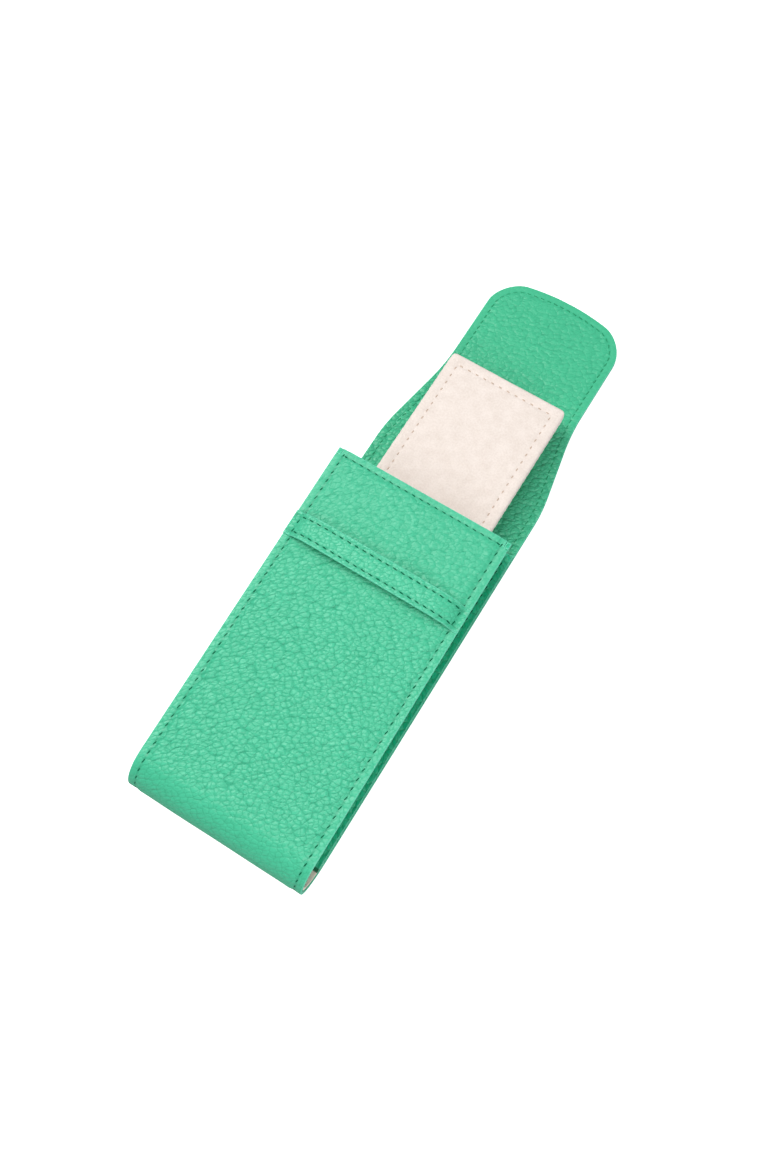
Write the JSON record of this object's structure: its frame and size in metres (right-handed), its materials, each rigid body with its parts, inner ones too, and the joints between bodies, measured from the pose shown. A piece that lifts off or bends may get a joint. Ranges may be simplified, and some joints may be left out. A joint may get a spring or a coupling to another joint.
{
  "type": "watch pouch",
  "caption": "Leather watch pouch with folding side gussets, a keeper band, a flap that folds twice and tucks in, and a loose suede pad that slides in at the mouth.",
  "frame": {"origin": "middle of the back panel's outer face, which lies on the table", "axes": "+Y from the rolled base towards the tip of the flap, +Z out of the back panel towards the front, +X across the pouch"},
  "size_m": [0.0684, 0.2425, 0.0367],
  "materials": {
    "green_leather": "pebbled full-grain leather, dyed bright green, satin",
    "cream_suede": "cream suede, matt with a short nap",
    "grey_board": "pressed grey fibre board, matt"
  },
  "bodies": {
    "pouch": {"outer_leather": "green_leather", "suede_lining": "cream_suede", "flap_facing_root": "green_leather", "back_board": "grey_board", "front_board": "grey_board", "gusset_left": "green_leather", "gusset_right": "green_leather", "gusset_lining_left": "cream_suede", "gusset_lining_right": "cream_suede", "keeper_backing": "green_leather", "keeper_band": "green_leather"},
    "flap_bridge": {"flap_bridge_leather": "green_leather", "flap_bridge_facing": "green_leather"},
    "flap_tongue": {"flap_tongue_leather": "green_leather", "flap_tongue_facing": "green_leather"},
    "pad": {"pad_back_suede": "cream_suede", "pad_board": "grey_board", "pad_face_suede": "cream_suede"}
  },
  "joints": [
    {"name": "flap_fold", "type": "hinge", "parent": "pouch", "child": "flap_bridge", "pos_m": [0, 0.0714, 0.002], "axis": [1, 0, 0], "range_deg": [0, 90]},
    {"name": "tongue_fold", "type": "hinge", "parent": "flap_bridge", "child": "flap_tongue", "pos_m": [0, 0.10494, 0.002], "axis": [1, 0, 0], "range_deg": [0, 94.23]},
    {"name": "pad_slide", "type": "slide", "parent": "pouch", "child": "pad", "axis": [0, -1, 0], "range_m": [0, 0.1061]}
  ],
  "couplings": [
    {"joint": "tongue_fold", "follows": "flap_fold", "ratio": 1.0469},
    {"joint": "pad_slide", "follows": "flap_fold", "m_per_rad": 0.0675}
  ]
}
